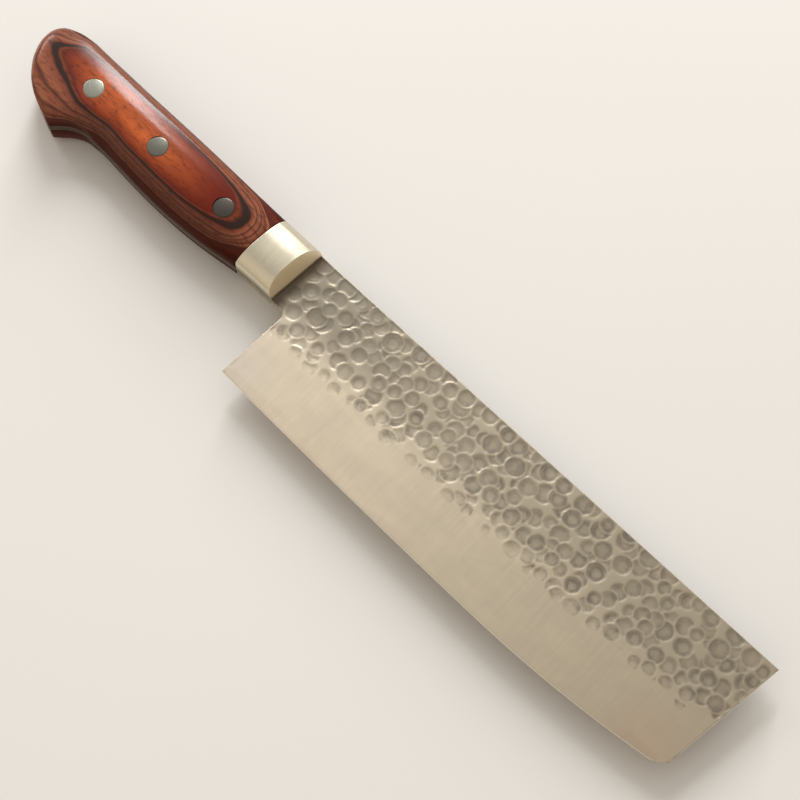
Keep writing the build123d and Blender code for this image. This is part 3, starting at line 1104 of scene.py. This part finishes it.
# %% Shader groups
scratch_group, given = new_tree("fine scratches", "ShaderNodeTree",
                                {"Vector": "Vector", "Turn": 0.0, "Density": 900.0}, {"Lines": "Float"})
turned = wired("ShaderNodeVectorRotate", {"Vector": given["Vector"], "Angle": given["Turn"]},
               rotation_type="Z_AXIS").outputs[0]
wired("NodeGroupOutput", {"Lines": noise(turned, given["Density"], 3.0, along=0.035, Roughness=0.6)})

smear_group, given = new_tree("handling smears", "ShaderNodeTree", {"Vector": "Vector", "Size": 40.0},
                              {"Smear": "Float", "Specks": "Float"})
wired("NodeGroupOutput", {"Smear": noise(given["Vector"], given["Size"], 4.0, Distortion=0.4),
                          "Specks": noise(given["Vector"], 1400.0, 2.0)})


def placed(group, where, **feeds):
    """Place a shader group in the material that the coordinates come from."""
    return wired("ShaderNodeGroup", {"Vector": where, **feeds}, node_tree=group).outputs


def belt_lines(where, turn, density):
    """Fine scratches of a belt that ran at an angle, in degrees."""
    return placed(scratch_group, where, Turn=radians(turn), Density=density)["Lines"]


# %% Material helpers


def new_material(name, roughness, metallic, **settings):
    """A material with its shader and Object coordinates. An underscore in a setting stands for a space."""
    material = bpy.data.materials.new(name)
    material.use_nodes = True
    shader = material.node_tree.nodes["Principled BSDF"]
    for key, value in {"Roughness": roughness, "Metallic": metallic, **settings}.items():
        shader.inputs[key.replace("_", " ")].default_value = value
    return material, shader, add_node(material.node_tree, "ShaderNodeTexCoord").outputs["Object"]


def feed(shader, **outputs):
    """Link outputs to the inputs of a shader. An underscore stands for a space."""
    for key, output in outputs.items():
        shader.id_data.links.new(output, shader.inputs[key.replace("_", " ")])


def attribute(shader, name):
    """Read an attribute of the piece that the shader is on."""
    return add_node(shader.id_data, "ShaderNodeAttribute", attribute_name=name).outputs["Fac"]


def relief(height, strength, depth):
    """Fine bumps of a depth in mm."""
    return wired("ShaderNodeBump", {"Strength": strength, "Distance": depth * MM, "Height": height}).outputs[0]


def mixed(share, first, second):
    """Mix two colours, each an output or its red, green and blue."""
    first, second = (colour if is_output(colour) else (*colour, 1) for colour in (first, second))
    return wired("ShaderNodeMix", {0: share, 6: first, 7: second}, data_type="RGBA").outputs[2]


def ramp(value, stops):
    """A colour ramp with its stops."""
    node = wired("ShaderNodeValToRGB", {0: value})
    while len(node.color_ramp.elements) < len(stops):
        node.color_ramp.elements.new(0.5)
    for element, (at, colour) in zip(node.color_ramp.elements, stops):
        element.position = at
        element.color = (*colour, 1)
    return node.outputs["Color"]


def ranged(value, low, high, to_low=0.0, to_high=1.0):
    """Map a range of a value to another, clamped."""
    return wired("ShaderNodeMapRange", {0: value, 1: low, 2: high, 3: to_low, 4: to_high}).outputs[0]


def lengthwise(spread, start, end, to_start=0.0, to_end=1.0):
    """Change between two places ahead of the heel."""
    return ranged(spread, at_x(start), at_x(end), to_start, to_end)


def crosswise(depth, low, high, to_low=0.0, to_high=1.0):
    """Change between two places up from the spine."""
    return ranged(depth, at_y(low), at_y(high), to_low, to_high)


def round_spot(where, spot, reach, strength):
    """A soft round spot on the steel, strongest in its middle."""
    return ranged(vector_calc("DISTANCE", where, place(*spot, 0)), 0, reach * MM, strength, 0.0)


# %% [markdown]
# ### Hammered and ground steel
#
# The hollows keep a dull grey forge finish. No two are quite alike: tones differ, and towards the grind they fade
# out in a ragged border. Each hollow also gets painted shade: darker round its wall, with a middle often painted
# paler. The ridges between them are paler, steep edges get a painted highlight, and a painted shadow of the
# bolster darkens the steel beside it. The ground bevel is satin with fine scratches. All of it could be painted on
# an image. The masks that the hammering tree wrote, dent, rim and ground, follow the real hollows instead.

# %% Satin steel
# The tang is painted dark as shade where the handle covers it.
TANG_SHADE_COLOUR = (0.09, 0.072, 0.055)
NEAR_TIP = (152, -39)
NEAR_HEEL = (3, -38)


def satin_steel(where, lines):
    """Colour and roughness of ground steel: fine lines, darker towards the tip, faint bands of forged layers."""
    steel = mixed(lines, (0.65, 0.565, 0.43), (0.72, 0.635, 0.495))
    steel = mixed(lengthwise(split(where)["X"], 50, 160, 0.0, 0.6), steel, (0.44, 0.375, 0.28))
    bands = noise(where, 90.0, 3.0, along=0.4, Distortion=1.6)
    steel = mixed(ranged(bands, 0.42, 0.62, 0.0, 0.16), steel, (0.42, 0.37, 0.31))
    steel = mixed(round_spot(where, NEAR_TIP, 14, 0.4), steel, (0.62, 0.44, 0.33))
    steel = mixed(round_spot(where, NEAR_HEEL, 13, 0.45), steel, (0.60, 0.55, 0.53))
    return steel, ranged(lines, 0.3, 0.7, 0.36, 0.42)


def dark_in_handle(where, colour):
    """The blade's colour, and a painted dark shade on the tang where the handle covers it."""
    return mixed(calc("LESS_THAN", split(where)["X"], at_x(BOLSTER_REAR)), colour, TANG_SHADE_COLOUR)


# %% Outer layer steel
clad, shader, where = new_material("hammered_steel", 0.35, 1.0)
dent, rim, bare = (attribute(shader, name) for name in ("dent", "rim", "ground"))
lines = belt_lines(where, 90, 1500.0)
smears = placed(smear_group, where, Size=55.0)
spread, depth, _ = split(where)
satin, satin_rough = satin_steel(where, lines)

patchy = noise(where, 360.0, 4.0, Roughness=0.6)
ragged = add(depth, multiply(subtract(patchy, 0.5), 14 * MM))
faded_low = crosswise(ragged, -27, -21, 0.25, 1.0)
towards_tip = lengthwise(spread, 0, 75, 0.65, 1.0)
blotched = multiply(ranged(dent, 0.05, 0.85), ranged(patchy, 0.36, 0.62, 0.66, 1.25))
floor_mask = multiply(blotched, multiply(faded_low, towards_tip), clamp=True)

near_heel = lengthwise(spread, 5, 60, 1.0, 0.0)
flat_top = mixed(near_heel, (0.48, 0.42, 0.32), (0.27, 0.238, 0.185))
land = mixed(crosswise(depth, -25.5, -15), satin, flat_top)
hollow = mixed(smears["Smear"], (0.27, 0.235, 0.185), (0.38, 0.335, 0.27))
hollow = mixed(multiply(near_heel, 0.45), hollow, (0.16, 0.142, 0.115))
# The rim mask is painted shade: each hollow is darker where its wall rises.
hollow = mixed(multiply(rim, 0.85), hollow, (0.14, 0.12, 0.094))
steel = mixed(bare, mixed(floor_mask, land, hollow), satin)
# Steep rims and edges are painted pale: a painted highlight.
facing = split(add_node(shader.id_data, "ShaderNodeTexCoord").outputs["Normal"])["Z"]
painted_edge_highlight = ranged(calc("ABSOLUTE", facing), 0.80, 0.955, 0.85, 0.0)
steel = mixed(painted_edge_highlight, steel, (0.92, 0.86, 0.74))
# Just ahead of the bolster the steel is painted dark: a painted shadow of the bolster.
painted_bolster_shadow = lengthwise(spread, -3.2, 1.0, 0.95, 0.0)
steel = mixed(painted_bolster_shadow, steel, (0.09, 0.07, 0.05))
struck_rough = ranged(floor_mask, 0, 1, 0.33, 0.27)
rough = wired("ShaderNodeMix", {0: bare, 2: struck_rough, 3: satin_rough}).outputs[0]
grain = add(multiply(lines, bare), multiply(smears["Specks"], 0.5))
feed(shader, Base_Color=dark_in_handle(where, steel), Roughness=rough, Normal=relief(grain, 0.25, 0.02))
print(clad.name, len(clad.node_tree.nodes), "nodes")

# %% Core steel
hard, shader, where = new_material("core_satin_steel", 0.36, 1.0)
lines = belt_lines(where, 90, 1500.0)
satin, satin_rough = satin_steel(where, lines)
# The honed strip along the edge is painted pale: a painted glint.
satin_with_painted_glint = mixed(ranged(attribute(shader, "honed"), 0.93, 1.0), satin, (0.95, 0.90, 0.80))
feed(shader, Base_Color=dark_in_handle(where, satin_with_painted_glint), Roughness=satin_rough, Normal=relief(lines, 0.25, 0.02))
print(hard.name, len(hard.node_tree.nodes), "nodes")

# %% [markdown]
# ### Polished bolster and rivets
#
# Bolster and rivets are polished after the handle is shaped, and both keep the last fine scratches of the belt.
# Two materials could be built one by one, but they differ in a few values only, so one function makes both. The
# rivets are darker towards the blade, and the bolster's facet is rougher than its crown and painted paler and
# warmer, a painted reflection of the blade.

# %% Bolster and rivet metal


def polished(name, dull, bright, roughness, turn, density, blade_end_colour=None, front=None):
    """Polished metal with the last fine scratches of its belt."""
    material, shader, where = new_material(name, roughness, 1.0)
    lines = belt_lines(where, turn, density)
    smears = placed(smear_group, where, Size=120.0)
    metal = mixed(lines, dull, bright)
    worn = add(add(multiply(lines, 0.10), multiply(smears["Smear"], 0.08)), roughness)
    # Towards the blade the rivets are mixed darker.
    if blade_end_colour:
        metal = mixed(power(lengthwise(split(where)["X"], -85, -35), 0.7), metal, blade_end_colour)
    if front:
        # The facet, picked out by its forward-facing normal, is rougher and painted paler and warmer: a painted
        # reflection of the blade.
        facing = split(add_node(shader.id_data, "ShaderNodeNewGeometry").outputs["Normal"])["X"]
        on_facet = ranged(facing, 0.55, 0.75)
        metal = mixed(on_facet, metal, front)
        worn = add(worn, multiply(on_facet, 0.22))
    feed(shader, Base_Color=metal, Roughness=worn, Normal=relief(lines, 0.2, 0.01))
    print(name, len(material.node_tree.nodes), "nodes")
    return material


# The front colour is the facet's painted reflection of the blade.
bolster_metal = polished("polished_bolster_steel", (0.56, 0.51, 0.39), (0.68, 0.63, 0.50), 0.15, 90, 2200.0,
                         front=(1.0, 0.87, 0.63))
rivet_metal = polished("rivet_metal", (0.21, 0.213, 0.18), (0.28, 0.28, 0.235), 0.2, 35, 2600.0,
                       blade_end_colour=(0.066, 0.059, 0.051))

# %% [markdown]
# ### Layered resin wood
#
# The level attribute runs through the stack of veneers, with a little noise so that the layers aren't perfectly
# flat. A ramp gives each veneer its colour and the dark glue lines between them, as pale and dark rings round
# an orange crown. An image of wood would be simpler, but would ignore the layers. Fine flecks and streaks run
# lengthwise. The orange turns redder towards the bolster, and the layers along the belly ahead of the hook get
# painted shade, as on the side turned from the light. The clear resin polish is strongest on the butt and weakest
# beside the bolster.

# %% Veneers and flecks
STACK_HEIGHT = 9.0
LAYER_WANDER = 0.5
VENEERS = [
    (0.00, (0.035, 0.006, 0.004)), (0.20, (0.09, 0.014, 0.008)), (0.30, (0.05, 0.008, 0.005)),
    (0.45, (0.12, 0.020, 0.010)), (0.57, (0.080, 0.014, 0.008)), (0.600, (0.36, 0.13, 0.060)),
    (0.622, (0.13, 0.030, 0.016)), (0.665, (0.27, 0.085, 0.042)), (0.682, (0.085, 0.025, 0.015)),
    (0.700, (0.31, 0.100, 0.050)), (0.738, (0.24, 0.070, 0.036)), (0.752, (0.070, 0.022, 0.014)),
    (0.766, (0.33, 0.105, 0.052)), (0.800, (0.20, 0.052, 0.028)), (0.810, (0.026, 0.013, 0.009)),
    (0.830, (0.030, 0.014, 0.010)), (0.840, (0.21, 0.045, 0.016)), (0.852, (0.10, 0.022, 0.012)),
    (0.866, (0.24, 0.032, 0.010)), (0.93, (0.48, 0.095, 0.024)), (0.965, (0.60, 0.132, 0.033)),
]

wood_finish, shader, where = new_material("layered_resin_wood", 0.3, 0.0, Coat_Roughness=0.15,
                                          Specular_IOR_Level=0.03)
spread, depth, _ = split(where)
level = attribute(shader, "level")
wander = multiply(subtract(noise(where, 130.0, 2.0, along=0.35), 0.5), LAYER_WANDER)
stack = divide(add(multiply(level, 1 / MM), wander), STACK_HEIGHT)
fleck = noise(where, 1150.0, 4.0, along=0.3, Roughness=0.65)
streak = noise(where, 260.0, 3.0, along=0.12, Distortion=0.3)
broad = noise(where, 75.0, 2.0, along=0.5)
flecked = mixed(ranged(fleck, 0.49, 0.68, 0.0, 0.62), ramp(stack, VENEERS), (0.03, 0.008, 0.006))

# %% Orange crown, painted shade on the belly and resin polish
orange = mixed(ranged(streak, 0.42, 0.75, 0.0, 0.5), flecked, (0.10, 0.018, 0.010))
orange = mixed(ranged(broad, 0.35, 0.68, 0.0, 0.35), orange, (0.15, 0.020, 0.008))
orange = mixed(lengthwise(spread, -104, -86, 0.5, 0.0), orange, (0.11, 0.012, 0.006))
orange = mixed(lengthwise(spread, -56, -36, 0.0, 0.85), orange, (0.13, 0.011, 0.005))
wood = mixed(ranged(stack, 0.836, 0.856), flecked, orange)
# Painted shade: the belly side of the crown ahead of the hook, turned from the light, is mixed darker.
belly_side = multiply(crosswise(depth, -17, -11.5, 0.62, 0.0), lengthwise(spread, -94, -78))
painted_belly_shade = multiply(belly_side, ranged(stack, 0.80, 0.84, 1.0, 0.0))
wood = mixed(painted_belly_shade, wood, (0.040, 0.010, 0.006))
buffed = multiply(lengthwise(spread, -111, -105, 1.0, 0.42), lengthwise(spread, -75, -35, 1.0, 0.55))
polish = multiply(ranged(level, 3.5 * MM, 6.5 * MM), buffed)
feed(shader, Base_Color=wood, Coat_Weight=polish, Roughness=ranged(fleck, 0.4, 0.7, 0.26, 0.42),
     Normal=relief(fleck, 0.15, 0.02))
print(wood_finish.name, len(wood_finish.node_tree.nodes), "nodes")

# %% Epoxy
epoxy, shader, where = new_material("epoxy_line", 0.3, 0.0)
smears = placed(smear_group, where, Size=200.0)
feed(shader, Base_Color=mixed(smears["Smear"], (0.16, 0.07, 0.03), (0.28, 0.15, 0.08)),
     Roughness=ranged(smears["Specks"], 0.3, 0.7, 0.25, 0.4))

# %% [markdown]
# ## Ride and replace
#
# Nothing on this knife moves, so every piece rides on the one body. Each finer piece hides the CAD nodes it
# stands for: the three heads of a side stand for that half of each rivet.

# %% Hand the pieces over


def hand_over(piece, material, slot, *nodes):
    """Give a piece its finish, its body and the nodes that it replaces. The slot is not used."""
    piece.data.materials.clear()
    piece.data.materials.append(material)
    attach(piece, "root")
    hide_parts(*nodes)


hand_over(core, hard, "hard_steel", "core_steel")
for side, half in (("right", "socket"), ("left", "pin")):
    hand_over(layers[side], clad, "clad_steel", f"cladding_{side}")
    hand_over(bolsters[side], bolster_metal, "bolster_steel", f"bolster_{side}")
    hand_over(woods[side], wood_finish, "resin_wood", f"scale_{side}")
    hand_over(bonds[side], epoxy, "epoxy", f"bond_{side}")
    rivet_halves = [f"{name}_rivet_{half}" for name in ("front", "middle", "rear")]
    hand_over(rivets[side], rivet_metal, "rivet_metal", *rivet_halves)

# %% [markdown]
# ## Floor and light
#
# The floor is plain and pale. A long soft lamp up to the left draws the highlight along the crown, and a small
# one beside it fills the hollows. Polished steel shows what stands round it, and in an even room it looks like
# grey paint. So the room is brightest and whitest round the lamps, with a broad warm patch on the edge's side
# and a low one ahead of the tip.

# %% Floor
floor_mesh = bpy.data.meshes.new("floor")
floor_mesh.from_pydata([(-3, -3, 0), (3, -3, 0), (3, 3, 0), (-3, 3, 0)], [], [(0, 1, 2, 3)])
floor = new_object("floor", floor_mesh)
paper, shader, where = new_material("pale_floor", 0.7, 0.0)
feed(shader, Base_Color=mixed(noise(where, 4.0, 2.0), (0.80, 0.79, 0.77), (0.84, 0.83, 0.81)))
floor_mesh.materials.append(paper)

# %% Lamps
KEY_TURN = -22


def softbox(name, direction, distance, width, length, watts, turn):
    """An oblong soft lamp that faces the knife from a direction, turned about its own axis."""
    data = bpy.data.lights.new(name, "AREA")
    data.shape = "RECTANGLE"
    data.size = width
    data.size_y = length
    data.energy = watts
    lamp = new_object(name, data)
    lamp.location = aim + Vector(direction).normalized() * distance
    facing = (aim - lamp.location).to_track_quat("-Z", "Y")
    lamp.rotation_euler = (facing @ Quaternion((0, 0, 1), radians(turn))).to_euler()
    print(name, "at", [round(value, 2) for value in lamp.location])


softbox("key_softbox", (-0.516, 0.676, 0.526), 1.62, 0.18, 1.3, 19.0, KEY_TURN)
softbox("side_softbox", (-0.80, 0.20, 0.56), 1.6, 0.36, 0.36, 1.7, 0)

# %% Room
ABOVE_LAMPS = (-0.6, 0.45, 0.66)
EDGE_SIDE = (-0.35, -0.72, 0.6)
AHEAD_OF_TIP = (0.94, 0.16, 0.30)

world = bpy.data.worlds.new("studio")
bpy.context.scene.world = world
world.use_nodes = True
direction = add_node(world.node_tree, "ShaderNodeTexCoord").outputs["Generated"]


def patch(centre, start, strength):
    """A broad soft patch of the room's light round a direction."""
    nearness = vector_calc("DOT_PRODUCT", direction, Vector(centre).normalized())
    return ranged(nearness, start, 1.0, 0.0, strength)


above = ranged(patch(ABOVE_LAMPS, 0.3, 1.0), 0, 1, 0.32, 0.90)
beside = calc("MAXIMUM", patch(EDGE_SIDE, 0.40, 0.90), patch(AHEAD_OF_TIP, 0.72, 0.7))
feed(world.node_tree.nodes["Background"], Strength=calc("MAXIMUM", above, beside),
     Color=mixed(patch(ABOVE_LAMPS, 0.2, 1.0), (1.0, 0.88, 0.72), (1.0, 0.975, 0.94)))
bpy.context.scene.view_settings.view_transform = "Standard"
